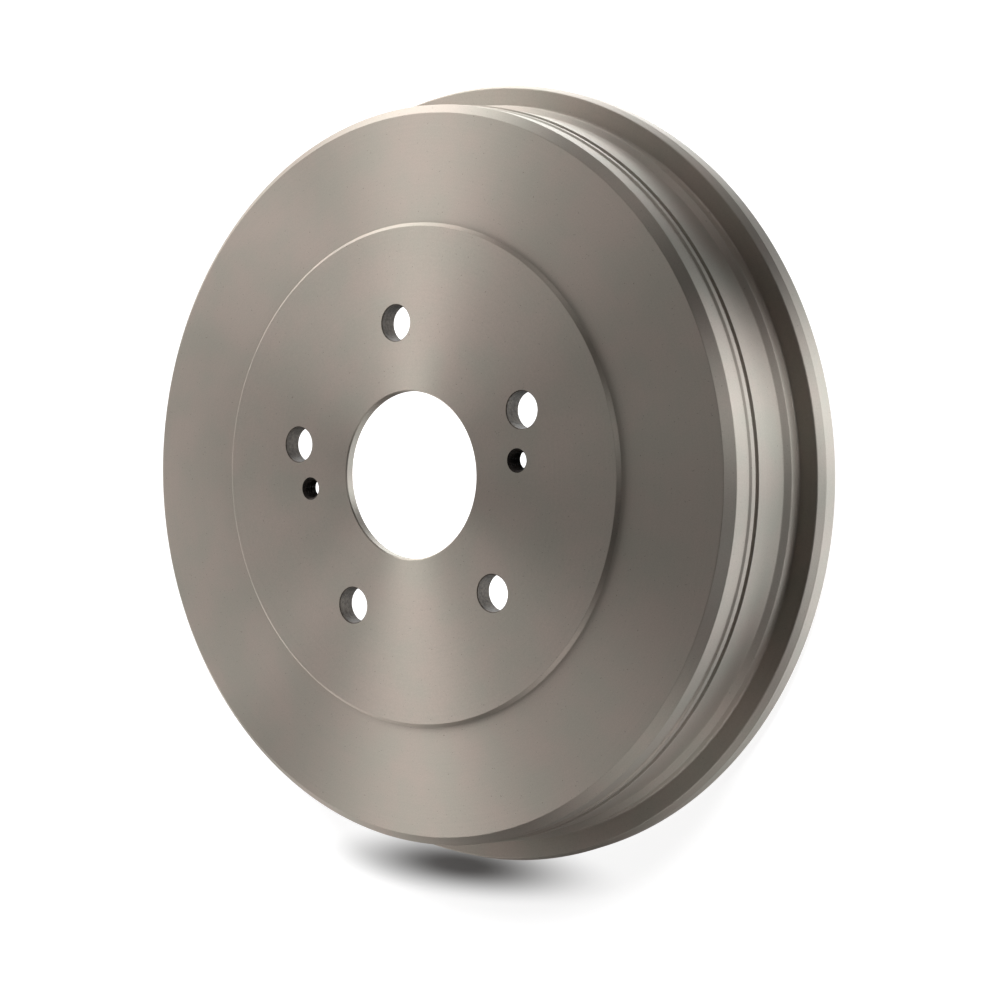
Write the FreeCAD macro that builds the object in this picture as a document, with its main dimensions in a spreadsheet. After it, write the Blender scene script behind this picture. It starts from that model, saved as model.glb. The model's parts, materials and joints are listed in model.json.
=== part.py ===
import FreeCAD, Part
import math
import os
import re
import Sketcher

# One-piece cast brake drum for a five-stud hub, turned all over outside.
# Frame: Z is the drum's axis. The open rim rests on Z = 0 and the hub face looks up.
# X runs through the first stud hole. All lengths are millimetres.

doc = FreeCAD.newDocument("BrakeDrum")

# Driving sizes, each under the alias of its cell in the sheet
sizes = {
    # Heights, measured up from the open rim or down from the hub face
    "drum_depth": 49.0,  # open rim to the hub face
    "pad_height": 1.3,  # wheel pad above the hub face
    "web_thickness": 6.7,  # web between the hub face and the cast inner face
    "seat_depth": 1.0,  # hub seat turned into the inner face
    "corner_depth": 2.5,  # bevel between the hub face and the land, along the axis
    "bead_drop": 12.95,  # hub face down to the middle of the bead
    "bead_crest": 2.3,  # crest of the bead
    "bead_flank": 0.35,  # slope beside the bead and at the end of the groove
    "groove_width": 1.1,  # mouth of the groove between the bead and the wall
    "flange_thickness": 10.7,  # open rim to the front of the flange
    "shoulder_rise": 4.6,  # shoulder above the front of the flange
    "rim_taper": 4.0,  # tapered front part of the rim
    "channel_depth": 6.0,  # channel in the open rim for the backing plate's lip
    "lip_recess": 1.5,  # end of the braking wall above the open rim
    "relief_height": 5.0,  # relief between the braking surface and the web

    # Diameters and radial steps, built outwards from the braking surface
    "brake_diameter": 254.0,  # braking surface
    "wall_thickness": 11.8,  # braking surface to the outside of the wall
    "land_drop": 1.4,  # turned land beside the hub face, and the groove, below the wall
    "corner_width": 3.3,  # bevel between the hub face and the land, radially
    "bead_step": 0.7,  # bead above the land
    "shoulder_step": 2.3,  # shoulder above the wall
    "flange_step": 7.3,  # flange beyond the shoulder
    "rim_step": 1.3,  # rim beyond the flange
    "rim_lip": 4.3,  # rim between its outside and the channel
    "wall_lip": 6.5,  # braking surface to the channel
    "relief_step": 1.2,  # relief behind the braking surface
    "entry_chamfer": 2.0,  # chamfer where the shoes enter

    # Hub interface
    "pad_diameter": 184.8,  # flat top of the wheel pad
    "pad_slope": 1.3,  # sloping edge of the wheel pad, radially
    "seat_diameter": 152.0,  # hub seat on the inner face
    "bore_diameter": 62.5,  # hub bore
    "bore_edge": 0.4,  # chamfer at the front of the bore
    "bore_relief": 3.5,  # chamfer at the back of the bore, clear of the hub's fillet
    "stud_count": 5,  # stud holes
    "stud_circle": 114.3,  # pitch circle of the stud holes
    "stud_hole": 13.6,  # stud hole
    "stud_countersink": 14.2,  # mouth of a stud hole
    "puller_count": 2,  # threaded holes that jack the drum off its hub
    "puller_circle": 100.4,  # pitch circle of the threaded holes
    "puller_drill": 6.8,  # tapping drill of an M8 thread
    "puller_countersink": 8.8,  # mouth of a threaded hole
    "puller_angle": -18.0,  # first threaded hole, counted from the first stud hole

    # Fillets and broken edges
    "wall_fillet": 0.8,  # wall into the shoulder
    "flange_fillet": 0.8,  # shoulder into the flange
    "shoulder_edge": 0.6,  # edge of the shoulder
    "rim_edge": 0.5,  # outer edge of the open rim
    "web_corner": 2.5,  # corner between the relief and the inner face
}
sheet = doc.addObject("Spreadsheet::Sheet", "Sizes")
for row, (alias, number) in enumerate(sizes.items(), start=1):
    sheet.set(f"A{row}", alias)
    sheet.set(f"B{row}", str(number))
    sheet.setAlias(f"B{row}", alias)
doc.recompute()


def bound(expression):
    """Point every size named in an expression at its cell."""
    names = "|".join(sizes)
    return re.sub(rf"\b({names})\b", r"Sizes.\1", expression)


def value(expression):
    """Work out an expression of sizes."""
    return float(sheet.evalExpression(bound(expression)))


# Radii and heights that several features share, as expressions of the sizes
BRAKE = "brake_diameter / 2"
WALL = BRAKE + " + wall_thickness"
LAND = WALL + " - land_drop"
FACE = LAND + " - corner_width"
BEAD = LAND + " + bead_step"
SHOULDER = WALL + " + shoulder_step"
FLANGE = SHOULDER + " + flange_step"
RIM = FLANGE + " + rim_step"
RELIEF = BRAKE + " + relief_step"
PAD = "pad_diameter / 2"
SEAT = "seat_diameter / 2"
BORE = "bore_diameter / 2"
PAD_TOP = "drum_depth + pad_height"
WEB_INSIDE = "drum_depth - web_thickness"
SEAT_LEVEL = WEB_INSIDE + " + seat_depth"
BEAD_TOP = "drum_depth - bead_drop + bead_crest / 2"
BEAD_END = "drum_depth - bead_drop - bead_crest / 2"
WALL_TOP = BEAD_END + " - groove_width"
SHOULDER_TOP = "flange_thickness + shoulder_rise"

body = doc.addObject("PartDesign::Body", "brake_drum")
body.Label = "brake_drum"


def origin_part(role):
    """Find one of the body's own origin planes or axes."""
    return next(item for item in body.Origin.OriginFeatures if item.Role == role)


def new_sketch(name, role):
    """Start a sketch on one of the body's origin planes."""
    sketch = body.newObject("Sketcher::SketchObject", name)
    sketch.AttachmentSupport = [(origin_part(role), "")]
    sketch.MapMode = "FlatFace"
    return sketch


def hold(sketch, kind, item, expression):
    """Dimension the start of a line or arc from the sketch's origin, and bind it to the sizes."""
    index = sketch.addConstraint(Sketcher.Constraint(kind, -1, 1, item, 1, value(expression)))
    sketch.setExpression(f"Constraints[{index}]", bound(expression))


def hollow_arc(start, end, radius):
    """Draw an arc from a point down to another, hollow towards the side away from the axis."""
    chord = end - start
    outwards = FreeCAD.Vector(-chord.y, chord.x, 0) / chord.Length
    sag = radius - math.sqrt(radius ** 2 - (chord.Length / 2) ** 2)
    return Part.Arc(start, (start + end) / 2 - outwards * sag, end)


def fillet(radius, height, amount):
    """Give the corners of a fillet between a wall and the ledge below it.

    It is two equal arcs that meet on the corner's diagonal. The third value of a corner is the
    radius of the arc that starts there.
    """
    diagonal = f" + {amount} * (1 - sqrt(0.5))"
    return [
        (radius, f"{height} + {amount}", amount),
        (radius + diagonal, height + diagonal, amount),
        (f"{radius} + {amount}", height),
    ]


def section(name, corners):
    """Draw a closed half-section through corners, each a radius and a height.

    A corner that keeps the radius or the height of the corner before it is tied to it by a
    vertical or a horizontal line, so that each size is dimensioned once along a run.
    """
    sketch = new_sketch(name, "XZ_Plane")
    points = [FreeCAD.Vector(value(corner[0]), value(corner[1]), 0) for corner in corners]
    count = len(corners)
    for index, corner in enumerate(corners):
        end = points[(index + 1) % count]
        if len(corner) == 3:
            sketch.addGeometry(hollow_arc(points[index], end, value(corner[2])))
        else:
            sketch.addGeometry(Part.LineSegment(points[index], end))
    for index in range(count):
        sketch.addConstraint(Sketcher.Constraint("Coincident", index, 2, (index + 1) % count, 1))
    for index, corner in enumerate(corners):
        radius, height = corner[:2]
        before = corners[index - 1]
        if index and before[0] == radius:
            sketch.addConstraint(Sketcher.Constraint("Vertical", index - 1))
        else:
            hold(sketch, "DistanceX", index, radius)
        if index and before[1] == height:
            sketch.addConstraint(Sketcher.Constraint("Horizontal", index - 1))
        elif height == "0":
            sketch.addConstraint(Sketcher.Constraint("PointOnObject", index, 1, -1))
        else:
            hold(sketch, "DistanceY", index, height)
        if len(corner) == 3:
            arc = sketch.addConstraint(Sketcher.Constraint("Radius", index, value(corner[2])))
            sketch.setExpression(f"Constraints[{arc}]", bound(corner[2]))
    return sketch


def turned(kind, name, sketch):
    """Turn a half-section once round the drum's axis, to add or to remove iron."""
    feature = body.newObject(kind, name)
    feature.Profile = sketch
    feature.ReferenceAxis = (sketch, ["V_Axis"])
    feature.Angle = 360
    doc.recompute()
    return feature


def must_remove(feature, volume_before):
    """Stop if a cut has taken nothing away."""
    if feature.Shape.Volume > volume_before - 0.001:
        raise RuntimeError(f"{feature.Name} removes nothing")


# Casting: hub face with its raised wheel pad, bevelled corner, land, bead, groove, wall, shoulder,
# flange and tapered rim outside; braking surface, relief, web and bore inside
casting_section = section("casting_section", [
    (BORE, PAD_TOP + " - bore_edge"),
    (BORE + " + bore_edge", PAD_TOP),
    (PAD, PAD_TOP),
    (PAD + " + pad_slope", "drum_depth"),
    (FACE, "drum_depth"),
    (LAND, "drum_depth - corner_depth"),
    (LAND, BEAD_TOP + " + bead_flank"),
    (BEAD, BEAD_TOP),
    (BEAD, BEAD_END),
    (LAND, BEAD_END + " - bead_flank"),
    (LAND, WALL_TOP + " + bead_flank"),
    (WALL, WALL_TOP),
    *fillet(WALL, SHOULDER_TOP, "wall_fillet"),
    (SHOULDER, SHOULDER_TOP),
    *fillet(SHOULDER, "flange_thickness", "flange_fillet"),
    (FLANGE, "flange_thickness"),
    (RIM, "flange_thickness - rim_taper"),
    (RIM, "0"),
    (BRAKE + " + wall_lip", "0"),
    (BRAKE + " + wall_lip", "lip_recess"),
    (BRAKE + " + entry_chamfer", "lip_recess"),
    (BRAKE, "lip_recess + entry_chamfer"),
    (BRAKE, WEB_INSIDE + " - relief_height - relief_step"),
    (RELIEF, WEB_INSIDE + " - relief_height"),
    (RELIEF, WEB_INSIDE),
    (BORE, WEB_INSIDE),
])
turned("PartDesign::Revolution", "casting", casting_section)

# Channel in the open rim, where the lip of the backing plate runs
channel_section = section("channel_section", [
    (BRAKE + " + wall_lip", "0"),
    (RIM + " - rim_lip", "0"),
    (RIM + " - rim_lip", "channel_depth"),
    (BRAKE + " + wall_lip", "channel_depth"),
])
volume = body.Tip.Shape.Volume
channel = turned("PartDesign::Groove", "channel", channel_section)
must_remove(channel, volume)

# Hub seat, turned flat inside the web so that the drum sits true on its hub, with the bore's
# back edge opened out clear of the fillet on the hub's spigot
seat_section = section("seat_section", [
    (BORE, WEB_INSIDE),
    (SEAT, WEB_INSIDE),
    (SEAT, SEAT_LEVEL),
    (BORE + " + bore_relief", SEAT_LEVEL),
    (BORE, SEAT_LEVEL + " + bore_relief"),
])
volume = body.Tip.Shape.Volume
seat = turned("PartDesign::Groove", "hub_seat", seat_section)
must_remove(seat, volume)


def ring_edge(radius, height):
    """Name the circular edge that runs round the axis at a radius and a height."""
    for number, edge in enumerate(body.Tip.Shape.Edges, start=1):
        curve = edge.Curve
        if not isinstance(curve, Part.Circle):
            continue
        place = FreeCAD.Vector(0, 0, value(height))
        if curve.Center.isEqual(place, 0.001) and abs(curve.Radius - value(radius)) < 0.001:
            return f"Edge{number}"
    raise RuntimeError(f"no edge at radius {radius}, height {height}")


def broken_edge(name, radius, height):
    """Chamfer the corner that runs round the drum at a radius and a height."""
    base = body.Tip
    edge = ring_edge(radius, height)
    chamfer = body.newObject("PartDesign::Chamfer", name + "_chamfer")
    chamfer.Base = (base, [edge])
    chamfer.setExpression("Size", bound(name))
    doc.recompute()


# Broken edges outside, and the filled corner inside
broken_edge("shoulder_edge", SHOULDER, SHOULDER_TOP)
broken_edge("rim_edge", RIM, "0")
broken_edge("web_corner", RELIEF, WEB_INSIDE)


def drilled(name, circle, angle, drill, mouth, count):
    """Drill a countersunk hole through the web from the wheel pad, and repeat it round the axis."""
    sketch = new_sketch(name + "_place", "XY_Plane")
    sketch.setExpression(".AttachmentOffset.Base.z", bound(PAD_TOP))
    sketch.setExpression(".AttachmentOffset.Rotation.Angle", bound(angle))
    start = FreeCAD.Vector(value(circle) / 2, 0, 0)
    sketch.addGeometry(Part.Circle(start, FreeCAD.Vector(0, 0, 1), value(drill) / 2))
    sketch.addConstraint(Sketcher.Constraint("PointOnObject", 0, 3, -1))
    place = sketch.addConstraint(Sketcher.Constraint("DistanceX", -1, 1, 0, 3, value(circle) / 2))
    sketch.setExpression(f"Constraints[{place}]", bound(circle + " / 2"))
    width = sketch.addConstraint(Sketcher.Constraint("Diameter", 0, value(drill)))
    sketch.setExpression(f"Constraints[{width}]", bound(drill))
    doc.recompute()
    volume_before = body.Tip.Shape.Volume
    hole = body.newObject("PartDesign::Hole", name)
    hole.Profile = sketch
    doc.recompute()
    hole.ThreadType = "None"
    hole.DepthType = "ThroughAll"
    hole.HoleCutType = "Countersink"
    hole.HoleCutCountersinkAngle = 90
    hole.setExpression("Diameter", bound(drill))
    hole.setExpression("HoleCutDiameter", bound(mouth))
    doc.recompute()
    must_remove(hole, volume_before)
    pattern = body.newObject("PartDesign::PolarPattern", name + "s")
    pattern.Originals = [hole]
    pattern.Axis = (origin_part("Z_Axis"), [""])
    pattern.Angle = 360
    pattern.setExpression("Occurrences", bound(count))
    body.Tip = pattern
    doc.recompute()
    must_remove(pattern, hole.Shape.Volume)


# Stud holes, and the two tapped holes that jack the drum off a seized hub
drilled("stud_hole", "stud_circle", "0", "stud_hole", "stud_countersink", "stud_count")
drilled("puller_hole", "puller_circle", "puller_angle", "puller_drill", "puller_countersink", "puller_count")

# Every feature must have computed, and the drum must be one sound solid
doc.recompute()
for item in doc.Objects:
    if "Invalid" in item.State or "Error" in item.State:
        raise RuntimeError(f"{item.Name} failed: {item.State}")
drum = body.Shape
if drum.isNull() or not drum.isValid() or len(drum.Solids) != 1:
    raise RuntimeError("the brake drum isn't one sound solid")

os.makedirs("parts", exist_ok=True)
drum.exportStep(f"parts/{body.Label}.step")
box = drum.optimalBoundingBox()
print(f"{body.Label}: {box.XLength:.1f} x {box.YLength:.1f} x {box.ZLength:.1f} mm,"
      f" {drum.Volume / 1000:.1f} cubic centimetres")
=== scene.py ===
# %% [markdown]
# # A turned brake drum on white paper
#
# A brake drum is cast in grey iron and then turned on a lathe all over its outside. What you see
# is bare metal with a satin sheen. Its looks come from two things: the crisp turned section, and
# the way fine lathe grooves stretch every reflection across them.
#
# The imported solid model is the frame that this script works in. Loading it first gives the true
# sizes and the place of every hole.

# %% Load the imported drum
import json
import math

import bpy
from mathutils import Matrix, Vector

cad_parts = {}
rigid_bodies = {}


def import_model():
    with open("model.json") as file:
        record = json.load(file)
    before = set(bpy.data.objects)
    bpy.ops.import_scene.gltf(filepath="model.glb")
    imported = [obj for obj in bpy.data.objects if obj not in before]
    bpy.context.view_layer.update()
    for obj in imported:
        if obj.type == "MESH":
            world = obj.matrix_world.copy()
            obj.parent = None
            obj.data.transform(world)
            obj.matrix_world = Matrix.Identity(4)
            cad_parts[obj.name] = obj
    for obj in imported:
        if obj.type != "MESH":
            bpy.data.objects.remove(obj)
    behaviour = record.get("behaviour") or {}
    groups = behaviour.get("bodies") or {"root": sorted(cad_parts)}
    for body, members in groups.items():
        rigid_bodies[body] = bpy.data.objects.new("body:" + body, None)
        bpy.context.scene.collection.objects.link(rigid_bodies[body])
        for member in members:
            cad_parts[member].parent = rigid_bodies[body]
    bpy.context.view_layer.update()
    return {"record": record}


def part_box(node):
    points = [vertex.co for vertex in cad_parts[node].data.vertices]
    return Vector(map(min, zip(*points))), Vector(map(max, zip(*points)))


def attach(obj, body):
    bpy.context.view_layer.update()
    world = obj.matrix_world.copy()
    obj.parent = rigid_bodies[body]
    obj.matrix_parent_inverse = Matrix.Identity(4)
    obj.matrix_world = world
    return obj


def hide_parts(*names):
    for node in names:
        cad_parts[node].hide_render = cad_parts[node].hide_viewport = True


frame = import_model()

# %% [markdown]
# ## Sizes
#
# The main sizes come from the frame, turned into millimetres: the overall size from the node's
# box, and the holes from the record's mounts. The smaller steps of the section are named here as
# the part's own drawing names them, built outwards from the braking surface.

# %% Sizes, in millimetres
MM = 0.001
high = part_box("brake_drum")[1] / MM
mounts = {mount["name"]: mount for mount in frame["record"]["mounts"]}

rim_radius = round(high.x, 1)
pad_top = round(high.z, 1)
brake_radius = mounts["braking_surface"]["dims"]["r_mm"]
bore_radius = mounts["hub_bore"]["dims"]["r_mm"]
seat_level = mounts["hub_seat"]["pos_m"][2] / MM
stud_count = mounts["stud_holes"]["dims"]["count"]
stud_circle_radius = mounts["stud_holes"]["dims"]["pcd_mm"] / 2
stud_radius = mounts["stud_holes"]["dims"]["hole_r_mm"]
puller_places = [Vector(mounts[name]["pos_m"]) / MM for name in ("puller_hole_a", "puller_hole_b")]
puller_radius = mounts["puller_hole_a"]["dims"]["r_mm"]

pad_height = 1.3
pad_radius = 92.4
pad_slope = 1.3
face_level = pad_top - pad_height
wall_radius = brake_radius + 11.8
land_radius = wall_radius - 1.4
corner_width, corner_depth = 3.3, 3.1
bead_radius = land_radius + 0.7
bead_top, bead_end = face_level - 11.8, face_level - 14.1
wall_top, flank, bead_rise = bead_end - 1.1, 0.35, 0.8
shoulder_radius = wall_radius + 2.3
flange_level, flange_radius = 10.7, rim_radius - 1.3
shoulder_level, flare = flange_level + 4.6, 2.0
taper_end = flange_level - 4.0
channel_outside, channel_inside, channel_depth = rim_radius - 4.3, brake_radius + 6.5, 6.0
lip_level, entry_chamfer = 1.5, 2.0
web_inside, relief_height, relief_step = seat_level - 1.0, 5.0, 1.2
seat_radius, bore_relief, bore_edge = 76.0, 3.5, 0.4
print(f"rim radius {rim_radius} mm, height {pad_top} mm, stud circle radius {stud_circle_radius} mm")

# %% [markdown]
# ## The turned section
#
# On the lathe one tool path makes every surface, so the drum is one section turned about its
# axis. Each corner below has its radius, its height, how far its edge is rounded, and the finish
# of the stretch that follows it. No real edge is perfectly sharp: even a rounding of a few
# tenths of a millimetre catches a thin line of light.

# %% Corners of the section
TURNED, BRAKING, CAST = range(3)

section = [
    (bore_radius, pad_top - bore_edge, 0.10, TURNED),
    (bore_radius + bore_edge, pad_top, 0.10, TURNED),
    (pad_radius, pad_top, 0.20, TURNED),
    (pad_radius + pad_slope, face_level, 0.50, TURNED),
    (land_radius - corner_width, face_level, 0.40, TURNED),
    (land_radius, face_level - corner_depth, 0.50, TURNED),
    (land_radius, bead_top + bead_rise, 0.30, TURNED),
    (bead_radius, bead_top, 0.40, TURNED),
    (bead_radius, bead_end, 0.20, TURNED),
    (land_radius, bead_end - flank, 0.10, TURNED),
    (land_radius, wall_top + flank, 0.10, TURNED),
    (wall_radius, wall_top, 0.20, TURNED),
    (wall_radius, shoulder_level + flare, 0.80, TURNED),
    (shoulder_radius, shoulder_level, 0.60, TURNED),
    (shoulder_radius, flange_level, 0.80, TURNED),
    (flange_radius, flange_level, 0.60, TURNED),
    (rim_radius, taper_end, 0.80, TURNED),
    (rim_radius, 0.0, 0.50, TURNED),
    (channel_outside, 0.0, 0.30, TURNED),
    (channel_outside, channel_depth, 0.40, TURNED),
    (channel_inside, channel_depth, 0.40, TURNED),
    (channel_inside, lip_level, 0.30, TURNED),
    (brake_radius + entry_chamfer, lip_level, 0.20, TURNED),
    (brake_radius, lip_level + entry_chamfer, 0.20, BRAKING),
    (brake_radius, web_inside - relief_height - relief_step, 0.15, TURNED),
    (brake_radius + relief_step, web_inside - relief_height, 0.20, TURNED),
    (brake_radius + relief_step, web_inside, 2.50, CAST),
    (seat_radius, web_inside, 0.20, TURNED),
    (seat_radius, seat_level, 0.20, TURNED),
    (bore_radius + bore_relief, seat_level, 0.20, TURNED),
    (bore_radius, seat_level + bore_relief, 0.20, TURNED),
]
print(len(section), "corners")

# %% [markdown]
# Rounding a corner puts an arc between its two stretches. Just beyond each end of the arc comes
# one more point. It keeps the soft shading of the arc off the wide flat face beside it, so that
# flat faces look truly flat.

# %% Round the corners
ARC_STEP = math.radians(11)
GUARD = 0.1


def rounded(before, corner, after, rounding):
    """Give the arc that rounds a corner, with a guard point beyond each of its ends."""
    to_before, to_after = (before - corner).normalized(), (after - corner).normalized()
    half = to_before.angle(to_after) / 2
    reach = rounding / math.tan(half)
    centre = corner + (to_before + to_after).normalized() * rounding / math.sin(half)
    first, last = corner + to_before * reach - centre, corner + to_after * reach - centre
    start = math.atan2(first.y, first.x)
    turn = math.remainder(math.atan2(last.y, last.x) - start, math.tau)
    steps = max(2, math.ceil(abs(turn) / ARC_STEP))
    angles = [start + turn * step / steps for step in range(steps + 1)]
    arc = [centre + Vector((math.cos(angle), math.sin(angle))) * rounding for angle in angles]
    return [corner + to_before * (reach + GUARD), *arc, corner + to_after * (reach + GUARD)]


def outline(corners):
    """Give the section's points, and the finish of the stretch after each of them."""
    places = [Vector(corner[:2]) for corner in corners]
    points, finishes = [], []
    for index, (_, _, rounding, finish) in enumerate(corners):
        arc = rounded(places[index - 1], places[index], places[(index + 1) % len(places)], rounding)
        points += arc
        finishes += [corners[index - 1][3]] * (len(arc) // 2) + [finish] * (len(arc) - len(arc) // 2)
    return points, finishes


points, finishes = outline(section)
print(len(points), "points round the section")

# %% [markdown]
# ## Turning
#
# The section is swept round the axis in fine steps, which also keeps the outline smooth in
# close-ups. One function makes any closed turned skin, so the drill bits below use it too.

# %% Sweep the section round the axis
TURN_STEPS = 256


def grid_mesh(name, rows, finishes, closed):
    """Skin rings of points into a mesh. A row is one ring, and an open skin is capped."""
    around = len(rows[0])
    vertices = [point * MM for row in rows for point in row]
    faces, materials = [], []
    for index in range(len(rows) if closed else len(rows) - 1):
        here, there = index * around, (index + 1) % len(rows) * around
        for step in range(around):
            after = (step + 1) % around
            faces.append((here + step, there + step, there + after, here + after))
            materials.append(finishes[index])
    if not closed:
        faces.append(tuple(range(around)))
        faces.append(tuple(reversed(range(len(vertices) - around, len(vertices)))))
        materials += [finishes[0], finishes[0]]
    mesh = bpy.data.meshes.new(name)
    mesh.from_pydata(vertices, [], faces)
    mesh.polygons.foreach_set("material_index", materials)
    mesh.update()
    return mesh


def ring(radius, height, steps, centre=Vector((0, 0))):
    """Give points round a vertical axis. The radius may be a function of the angle."""
    angles = [math.tau * step / steps for step in range(steps)]
    reach = radius if callable(radius) else lambda angle: radius
    return [
        Vector((centre.x + reach(a) * math.cos(a), centre.y + reach(a) * math.sin(a), height))
        for a in angles
    ]


rows = [ring(point.x, point.y, TURN_STEPS) for point in points]
drum = bpy.data.objects.new("turned_drum", grid_mesh("turned_drum", rows, finishes, closed=True))
bpy.context.scene.collection.objects.link(drum)
print(drum.name, "before drilling:", len(drum.data.polygons), "faces")

# %% [markdown]
# ## Drilling and tapping
#
# Five holes take the wheel studs. Two smaller holes are tapped M8, so that bolts can jack the
# drum off a seized hub. Each bit is a closed shape of what it removes, with a cone on top that
# breaks the hole's edge. A tap's radius grows and shrinks along the helix of its thread. It grows
# over three eighths of the pitch, stays at its full depth for a quarter of it, and shrinks back
# over the last three eighths.

# %% Bits and taps
BIT_OVERRUN = 1.0
BIT_STEPS = 48
stud_mouth, puller_mouth = 7.1, 4.4
thread_pitch, thread_depth, flank_share = 1.25, 0.6, 0.375
ROWS_PER_PITCH = 10


def bit(radius_at, heights, centre):
    """Make the skin of a bit that points up, from its rings at the given heights."""
    rows = [
        ring(lambda angle: radius_at(height, angle), height, BIT_STEPS, centre) for height in heights
    ]
    return grid_mesh("bit", list(reversed(rows)), [0] * len(rows), closed=False)


def countersunk(drill, mouth):
    """Give the radius of a plain drill with a 90 degree countersink at the top of the pad."""
    return lambda height, angle: max(drill, mouth + height - pad_top)


def tapped(drill, mouth):
    """Give the radius of a tapped and countersunk hole: a cut that climbs one pitch a turn."""
    def radius(height, angle):
        phase = (height / thread_pitch - angle / math.tau) % 1
        depth = thread_depth * min(1, (0.5 - abs(phase - 0.5)) / flank_share)
        return max(drill + depth, mouth + height - pad_top)
    return radius


bottom, top = seat_level - BIT_OVERRUN, pad_top + BIT_OVERRUN
stud_heights = [bottom, pad_top - stud_mouth + stud_radius, top]
thread_rows = math.ceil((top - bottom) / thread_pitch * ROWS_PER_PITCH)
thread_heights = [bottom + (top - bottom) * row / thread_rows for row in range(thread_rows + 1)]

bits = []
for number in range(stud_count):
    angle = math.tau * number / stud_count
    centre = Vector((math.cos(angle), math.sin(angle))) * stud_circle_radius
    bits.append(bit(countersunk(stud_radius, stud_mouth), stud_heights, centre))
for place in puller_places:
    bits.append(bit(tapped(puller_radius, puller_mouth), thread_heights, place.xy))
print(len(bits), "bits, a thread has", thread_rows, "rows")

# %% [markdown]
# All bits cut in one exact boolean. The cut faces keep the bits' own materials, so the drilled
# and tapped walls can have a duller and rougher finish than the turned faces, and colours
# painted dark as painted shade inside the holes.

# %% Cut the holes
drilled_iron, tapped_iron = (bpy.data.materials.new(name) for name in ("drilled_iron", "tapped_iron"))
for number, mesh in enumerate(bits):
    mesh.materials.append(drilled_iron if number < stud_count else tapped_iron)

cutters = bpy.data.collections.new("cutters")
for mesh in bits:
    cutters.objects.link(bpy.data.objects.new("bit", mesh))

finish_names = {TURNED: "turned_iron", BRAKING: "braking_iron", CAST: "cast_iron_skin"}
for finish in (TURNED, BRAKING, CAST):
    drum.data.materials.append(bpy.data.materials.new(finish_names[finish]))
drum.data.materials.append(drilled_iron)
drum.data.materials.append(tapped_iron)

cut = drum.modifiers.new("drill", "BOOLEAN")
cut.operation = "DIFFERENCE"
cut.solver = "EXACT"
cut.operand_type = "COLLECTION"
cut.collection = cutters
cut.material_mode = "TRANSFER"
solid_mesh = bpy.data.meshes.new_from_object(drum.evaluated_get(bpy.context.evaluated_depsgraph_get()))
drum.modifiers.remove(cut)
drum.data = solid_mesh
for bit_object in list(cutters.objects):
    bpy.data.objects.remove(bit_object)
bpy.data.collections.remove(cutters)

SHARP = math.radians(30)
drum.data.polygons.foreach_set("use_smooth", [True] * len(drum.data.polygons))
drum.data.set_sharp_from_angle(angle=SHARP)
triangles = sum(len(polygon.vertices) - 2 for polygon in drum.data.polygons)
print(drum.name, "drilled:", triangles, "triangles, materials", [m.name for m in drum.data.materials])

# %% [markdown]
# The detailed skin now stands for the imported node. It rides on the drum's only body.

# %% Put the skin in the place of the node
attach(drum, "root")
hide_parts("brake_drum")

# %% [markdown]
# ## A small language for materials
#
# A shader is a formula. Wrapping a socket in a class with arithmetic lets the formula be written
# as one: each sum or product adds a Math node. Every other node comes from one method, which
# sets the node's settings first and then gives each input a value or a link.

# %% Sockets with arithmetic
class Signal:
    """An output socket of a node tree, on which arithmetic adds Math nodes."""

    def __init__(self, tree, socket=None):
        self.tree = tree
        self.socket = socket

    def add(self, kind, settings, inputs, output=0):
        """Add a node of any kind and give the signal of one of its outputs."""
        node = self.tree.nodes.new(kind)
        for name, setting in settings.items():
            setattr(node, name, setting)
        for name, given in inputs.items():
            if isinstance(given, Signal):
                self.tree.links.new(given.socket, node.inputs[name])
            else:
                node.inputs[name].default_value = given
        return Signal(self.tree, node.outputs[output] if node.outputs else None)

    def math(self, operation, *values):
        """Add a Math node on the given values."""
        return self.add("ShaderNodeMath", {"operation": operation}, dict(enumerate(values)))

    def __add__(self, other):
        return self.math("ADD", self, other)

    def __radd__(self, other):
        return self.math("ADD", other, self)

    def __sub__(self, other):
        return self.math("SUBTRACT", self, other)

    def __rsub__(self, other):
        return self.math("SUBTRACT", other, self)

    def __mul__(self, other):
        return self.math("MULTIPLY", self, other)

    def __rmul__(self, other):
        return self.math("MULTIPLY", other, self)

    def __pow__(self, other):
        return self.math("POWER", self, other)

    def above(self, edge, softness):
        """Rise smoothly from 0 to 1 as the signal passes an edge."""
        ends = {"From Min": edge - softness, "From Max": edge + softness}
        settings = {"interpolation_type": "SMOOTHSTEP"}
        return self.add("ShaderNodeMapRange", settings, {"Value": self, **ends})

    def blend(self, first, second):
        """Mix two colours, with the signal as the share of the second."""
        settings = {"data_type": "RGBA"}
        return self.add("ShaderNodeMix", settings, {0: self, 6: first, 7: second}, output=2)

    def noise(self, scale, detail=2.0, roughness=0.5, dimensions="3D"):
        """Sample noise with the signal as its place: a vector, or a number for 1D noise."""
        place = {"1D": "W"}.get(dimensions, "Vector")
        inputs = {place: self, "Scale": scale, "Detail": detail, "Roughness": roughness}
        return self.add("ShaderNodeTexNoise", {"noise_dimensions": dimensions}, inputs)


def start_material(material):
    """Empty a material's tree and give its place signals: position, radius and height."""
    material.use_nodes = True
    tree = material.node_tree
    tree.nodes.clear()
    position = Signal(tree).add("ShaderNodeTexCoord", {}, {}, output="Object")
    x, y, z = (position.add("ShaderNodeSeparateXYZ", {}, {0: position}, output=axis) for axis in "XYZ")
    return position, (x * x + y * y) ** 0.5, z


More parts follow.
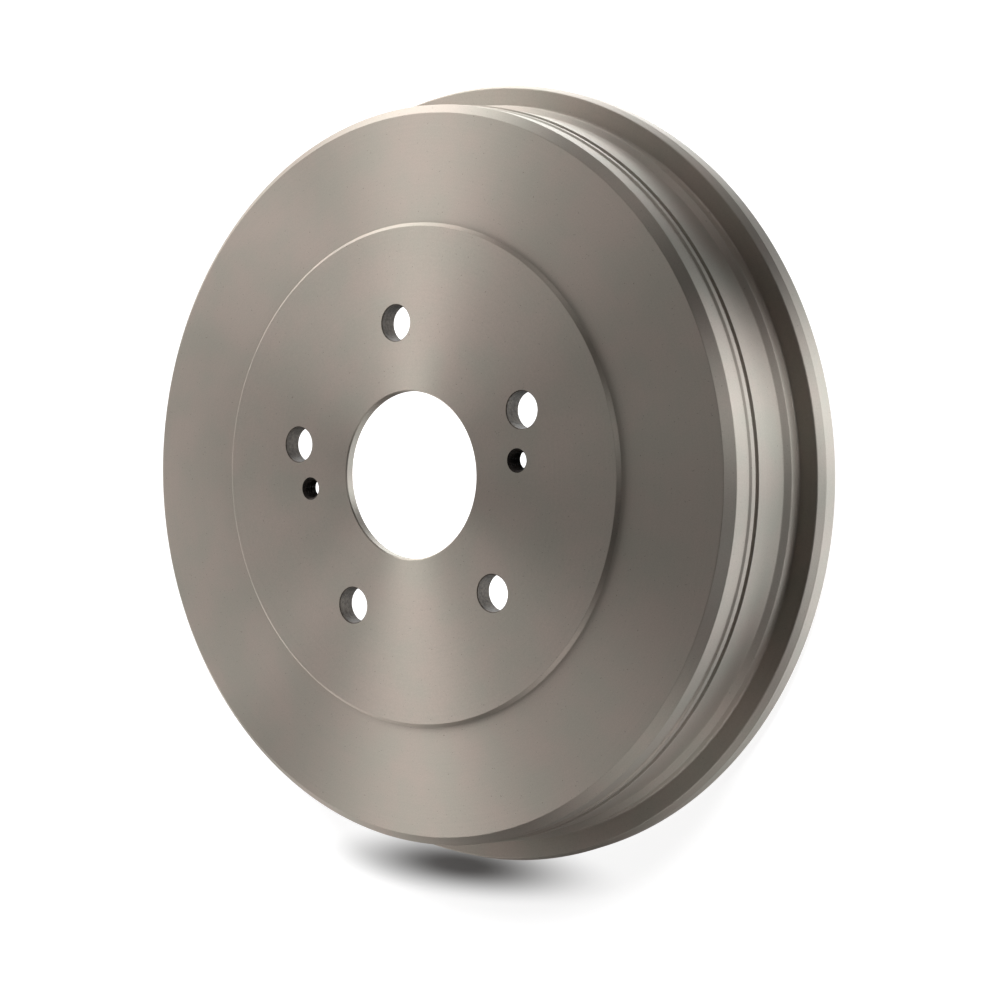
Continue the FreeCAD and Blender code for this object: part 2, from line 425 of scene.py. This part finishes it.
def finish_material(constants, colour, roughness, height, bump_distance):
    """Join colour, roughness and surface height in one metal shader."""
    normal = height.add(
        "ShaderNodeBump", {}, {"Strength": 1.0, "Distance": bump_distance, "Height": height}
    )
    inputs = {"Base Color": colour, "Roughness": roughness, "Normal": normal, **constants}
    shader = colour.add("ShaderNodeBsdfPrincipled", {}, inputs)
    shader.add("ShaderNodeOutputMaterial", {}, {"Surface": shader})


# %% [markdown]
# ## Turned grey iron
#
# Fine grooves run round the axis, closer together than the eye can part. They are in the
# shader's anisotropy: reflections stretch across the grooves, along the radius on the hub face
# and up and down on the wall. What the eye does see is slower: faint rings where the feed
# changed, cloudy patches a shade warmer or greener, and small dark pits where graphite and sand
# broke out under the tool.

# %% Turned finish
WARM_IRON = (0.580, 0.512, 0.455, 1.0)
COOL_IRON = (0.535, 0.510, 0.448, 1.0)
PIT_COLOUR = (0.20, 0.18, 0.16, 1.0)
GROOVE_DEPTH = 0.000004


def turned_iron(material, anisotropy, base_roughness):
    """Make bare turned iron with grooves round the axis."""
    position, radius, height = start_material(material)
    along_section = radius - height
    clouds = position.noise(38.0, detail=3.0)
    patches = position.noise(95.0, detail=2.0)
    rings = along_section.noise(900.0, detail=3.0, roughness=0.6, dimensions="1D")
    grooves = along_section.noise(6500.0, detail=2.0, roughness=0.7, dimensions="1D")
    grain = position.noise(2100.0, detail=2.0, roughness=0.7)
    pits = 1.0 - position.noise(1400.0, detail=1.0).above(0.24, 0.03)
    tint = (clouds * 0.7 + patches * 0.3).above(0.5, 0.16)
    iron = tint.blend(WARM_IRON, COOL_IRON)
    dulled = ((1.0 - grain) * 0.35 + (1.0 - rings) * 0.10).blend(iron, PIT_COLOUR)
    colour = (pits * 0.6).blend(dulled, PIT_COLOUR)
    roughness = base_roughness + (clouds - 0.5) * 0.05 + (rings - 0.5) * 0.06
    surface = grooves * 0.4 + rings * 0.6 - pits * 2.0
    constants = {"Metallic": 1.0, "Anisotropic": anisotropy, "Anisotropic Rotation": 0.25}
    finish_material(constants, colour, roughness, surface, GROOVE_DEPTH)


turned_iron(bpy.data.materials["turned_iron"], anisotropy=0.9, base_roughness=0.50)
turned_iron(bpy.data.materials["braking_iron"], anisotropy=0.85, base_roughness=0.30)
print("grooves", GROOVE_DEPTH * 1e6, "thousandths of a millimetre deep")

# %% [markdown]
# ## Cast skin and drilled walls
#
# Inside, the web keeps the skin that the sand mould gave it: dark, dull and grainy. The drilled
# walls are bare but torn by the bit, so they are dull as well and see little light. Their colour
# is painted far darker than bare iron, as painted shade inside the holes, and the tapped walls
# are painted almost black, as painted shade in the narrow threads.

# %% Cast and drilled finishes
CAST_DARK, CAST_LIGHT = (0.120, 0.115, 0.110, 1.0), (0.230, 0.215, 0.200, 1.0)
# The drilled and tapped colours are painted shade: far darker than bare iron, for walls deep in the
# holes.
DRILL_PAINTED_SHADE_DARK, DRILL_PAINTED_SHADE_LIGHT = (0.050, 0.042, 0.036, 1.0), (0.145, 0.124, 0.105, 1.0)
TAP_PAINTED_SHADE_DARK, TAP_PAINTED_SHADE_LIGHT = (0.006, 0.005, 0.005, 1.0), (0.050, 0.043, 0.037, 1.0)


def rough_iron(material, colours, grain, metallic, bump_distance):
    """Make dull iron with a grain of the given number of lumps per metre."""
    position, _, _ = start_material(material)
    lumps = position.noise(grain, detail=4.0, roughness=0.6)
    clouds = position.noise(45.0, detail=2.0)
    share = (lumps * 0.6 + clouds * 0.4).above(0.5, 0.18)
    colour = share.blend(*colours)
    roughness = 0.62 + (lumps - 0.5) * 0.2
    finish_material({"Metallic": metallic}, colour, roughness, lumps, bump_distance)


cast_iron_skin = bpy.data.materials["cast_iron_skin"]
rough_iron(cast_iron_skin, (CAST_DARK, CAST_LIGHT), grain=650.0, metallic=0.7, bump_distance=0.0004)
rough_iron(drilled_iron, (DRILL_PAINTED_SHADE_DARK, DRILL_PAINTED_SHADE_LIGHT), grain=900.0, metallic=0.9, bump_distance=0.0002)
rough_iron(tapped_iron, (TAP_PAINTED_SHADE_DARK, TAP_PAINTED_SHADE_LIGHT), grain=1800.0, metallic=0.9, bump_distance=0.0001)
print("materials:", [material.name for material in drum.data.materials])

# %% [markdown]
# ## White paper
#
# The drum lies on white paper that fills the view and glows a little, like a light table. The
# glow fades out in a strip at the drum's foot. This is a painted shadow, compact and dark, which the
# sun's cast shadow darkens further where it falls inside it.
# The strip is a stretched oval: its place and tilt are measured from the drum's axis in the
# picture's own directions, and a mix of a dim and a bright glow makes its soft edge.
# From below the paper lets the camera through, so that the drum's inside can be looked at. A
# brighter disc under the drum makes the bore and the stud holes show pure white.

# %% Paper and light box
PICTURE_RIGHT = -28.8
# The paper's own colour is dark grey and its glow makes it white, so the oval where the glow fades out
# below is a dark painted shadow.
PAPER = (0.30, 0.30, 0.30, 1.0)
SHADE_PLACE = Matrix.Rotation(math.radians(PICTURE_RIGHT), 2) @ Vector((-5, -157)) * MM
SHADE_TILT = math.radians(PICTURE_RIGHT + 7)
SHADE_LENGTH, SHADE_WIDTH = 82 * MM, 15 * MM
SHADE_EDGE, SHADE_SOFTNESS = 0.55, 0.45
SHEET_STEPS = 96


def sheet_of_paper(name, radius, height, glow, shade):
    """Make a glowing round sheet that can be seen from above only. In the oval of painted shadow it
    glows only with the shade strength.
    """
    mesh = bpy.data.meshes.new(name)
    corners = [point * MM for point in ring(radius, height, SHEET_STEPS)]
    mesh.from_pydata(corners, [], [tuple(range(SHEET_STEPS))])
    sheet = bpy.data.objects.new(name, mesh)
    bpy.context.scene.collection.objects.link(sheet)
    material = bpy.data.materials.new(name)
    position, _, _ = start_material(material)
    x, y = (position.add("ShaderNodeSeparateXYZ", {}, {0: position}, output=axis) for axis in "XY")
    x, y = x - SHADE_PLACE.x, y - SHADE_PLACE.y
    along = (x * math.cos(SHADE_TILT) + y * math.sin(SHADE_TILT)) * (1 / SHADE_LENGTH)
    across = (y * math.cos(SHADE_TILT) - x * math.sin(SHADE_TILT)) * (1 / SHADE_WIDTH)
    # The oval where the glow fades out is a painted shadow; the paper glows beyond it.
    outside_painted_shadow = ((along * along + across * across) ** 0.5).above(SHADE_EDGE, SHADE_SOFTNESS)
    dim = position.add("ShaderNodeEmission", {}, {"Strength": shade})
    bright = position.add("ShaderNodeEmission", {}, {"Strength": glow})
    light = position.add("ShaderNodeMixShader", {}, {0: outside_painted_shadow, 1: dim, 2: bright})
    diffuse = position.add("ShaderNodeBsdfDiffuse", {}, {"Color": PAPER})
    paper = position.add("ShaderNodeAddShader", {}, {0: diffuse, 1: light})
    clear = position.add("ShaderNodeBsdfTransparent", {}, {})
    from_below = position.add("ShaderNodeNewGeometry", {}, {}, output="Backfacing")
    shader = position.add("ShaderNodeMixShader", {}, {0: from_below, 1: paper, 2: clear})
    shader.add("ShaderNodeOutputMaterial", {}, {"Surface": shader})
    mesh.materials.append(material)
    sheet.visible_glossy = False
    sheet.visible_shadow = False


sheet_of_paper("paper", radius=6000.0, height=-0.2, glow=0.85, shade=0.0)
sheet_of_paper("light_box", radius=brake_radius - 1, height=-0.1, glow=1.3, shade=1.3)
print("paper is shaded at", [round(side / MM) for side in SHADE_PLACE], "mm from the axis")

# %% [markdown]
# ## Light
#
# Turned metal shows its surroundings, so what matters most is the room that the iron sees. The
# room is a sum of soft glows, each as bright as a soft box or a lit wall. The picture was taken
# with the drum standing on its edge in a white sweep. So the glows also lie below the level of
# the paper, and the paper itself doesn't show in the iron. Light from below and near the paper
# is a touch cooler, and light from higher up a touch warmer.
#
# Angles are counted in degrees, round the picture from its right and up from the paper. Each row
# below is a ring of glows at one elevation, with the strength of each by its azimuth. At its
# width away from its middle, a glow has dropped to about a third. The places and strengths come
# from a fitting program. It compared renders under single patches of light with how bright the
# photographed iron is all round the drum.

# %% A room of soft glows
def toward(azimuth, elevation):
    """Give the direction at an angle round the picture and above the paper, in degrees."""
    turn, rise = math.radians(azimuth + PICTURE_RIGHT), math.radians(elevation)
    return Vector((math.cos(rise) * math.cos(turn), math.cos(rise) * math.sin(turn), math.sin(rise)))


GLOW_WIDTH = math.radians(16)
glows = {
    -70: {45: 4.62, 270: 2.88, 315: 5.03},
    -50: {120: 7.06},
    -32: {0: 1.53, 24: 2.74},
    -15: {120: 4.31, 340: 2.50},
    2: {20: 3.27},
    18: {80: 1.26, 140: 7.40, 220: 2.66, 280: 1.41, 300: 1.64},
    55: {180: 0.62},
}
LOW_LIGHT, HIGH_LIGHT = (0.95, 1.00, 1.03, 1.0), (1.03, 1.00, 0.99, 1.0)
CHANGE_AT, CHANGE_SPREAD = -0.1, 0.3

world = bpy.data.worlds.new("room")
world.use_nodes = True
world.node_tree.nodes.clear()
looking = Signal(world.node_tree).add("ShaderNodeTexCoord", {}, {}, output="Generated")
sharpness = 1 / (1 - math.cos(GLOW_WIDTH))
brightness = 0.0
for elevation, ring_of_glows in glows.items():
    for azimuth, strength in ring_of_glows.items():
        inputs = {0: looking, 1: toward(azimuth, elevation)}
        facing = looking.add("ShaderNodeVectorMath", {"operation": "DOT_PRODUCT"}, inputs, output=1)
        brightness = brightness + facing.math("EXPONENT", (facing - 1.0) * sharpness) * strength
upward = looking.add("ShaderNodeSeparateXYZ", {}, {0: looking}, output="Z")
light_colour = upward.above(CHANGE_AT, CHANGE_SPREAD).blend(LOW_LIGHT, HIGH_LIGHT)
room = brightness.add("ShaderNodeBackground", {}, {"Color": light_colour, "Strength": brightness})
room.add("ShaderNodeOutputWorld", {}, {"Surface": room})
bpy.context.scene.world = world
print(sum(len(ring_of_glows) for ring_of_glows in glows.values()), "glows light the room")

# %% [markdown]
# The glows are far away, so on their own they would light the left and the right of the hub face
# alike. In the picture the left is lighter. So one soft box stands close to the drum on that
# side, where the left of the face sees it larger than the right does. An area light could do
# this too, but a glowing card is easy to keep out of the picture and off the paper: it shows in
# the iron only, and the room behind it shows through.

# %% A soft box close by
BOX_AZIMUTH, BOX_REACH, BOX_MIDDLE = 180, 340 * MM, 150 * MM
BOX_WIDTH, BOX_HEIGHT = 440 * MM, 220 * MM


def soft_box(strength):
    """Make a glowing upright card beside the drum that faces the drum's axis."""
    outwards, upwards = toward(BOX_AZIMUTH, 0), Vector((0, 0, 1))
    centre = outwards * BOX_REACH + upwards * BOX_MIDDLE
    across, up = upwards.cross(outwards) * (BOX_WIDTH / 2), upwards * (BOX_HEIGHT / 2)
    corners = [centre - across - up, centre + across - up, centre + across + up, centre - across + up]
    mesh = bpy.data.meshes.new("soft_box")
    mesh.from_pydata(corners, [], [(0, 1, 2, 3)])
    card = bpy.data.objects.new("soft_box", mesh)
    bpy.context.scene.collection.objects.link(card)
    material = bpy.data.materials.new("soft_box")
    position, _, _ = start_material(material)
    light = position.add("ShaderNodeEmission", {}, {"Color": HIGH_LIGHT, "Strength": strength})
    clear = position.add("ShaderNodeBsdfTransparent", {}, {})
    shader = position.add("ShaderNodeAddShader", {}, {0: light, 1: clear})
    shader.add("ShaderNodeOutputMaterial", {}, {"Surface": shader})
    mesh.materials.append(material)
    for way in ("camera", "diffuse", "shadow", "transmission", "volume_scatter"):
        setattr(card, "visible_" + way, False)


soft_box(strength=2.4)
print("soft box", round(BOX_REACH, 2), "m from the axis")

# %% [markdown]
# One broad light from the top of the picture lights the paper and throws a soft shadow below
# the drum. The shadow shows mostly inside the strip of painted shadow, where the paper's glow fades
# out. The light doesn't show in the iron.

# %% Light on the paper
paper_light = bpy.data.lights.new("paper_light", "SUN")
paper_light.angle = math.radians(16)
paper_light.energy = 3.4
paper_sun = bpy.data.objects.new("paper_light", paper_light)
paper_sun.rotation_euler = toward(85, 46).to_track_quat("Z", "Y").to_euler()
paper_sun.visible_glossy = False
bpy.context.scene.collection.objects.link(paper_sun)
bpy.context.scene.view_settings.view_transform = "Standard"
bpy.context.scene.cycles.use_denoising = True

# %% [markdown]
# ## Camera
#
# The picture was taken from above and to one side, and the drum's axis points to the left in
# it. So the camera looks down on the lying drum and is rolled by a quarter turn. The lens, the
# distance and the angles come from fitting a camera to the circles of the real drum.

# %% Camera
camera_data = bpy.data.cameras.new("camera")
camera_data.sensor_width = 36.0
camera_data.lens = 69.52
camera_data.shift_y = -0.05
camera = bpy.data.objects.new("camera", camera_data)
camera_place = Vector((0.425713, -0.178262, 0.600599))
camera_right = Vector((0.72270556, -0.33285022, -0.60572882))
camera_up = Vector((0.41306557, 0.91066973, -0.00758068))
turn = Matrix((camera_right, camera_up, camera_right.cross(camera_up))).transposed()
camera.matrix_world = Matrix.Translation(camera_place) @ turn.to_4x4()
bpy.context.scene.collection.objects.link(camera)
bpy.context.scene.camera = camera
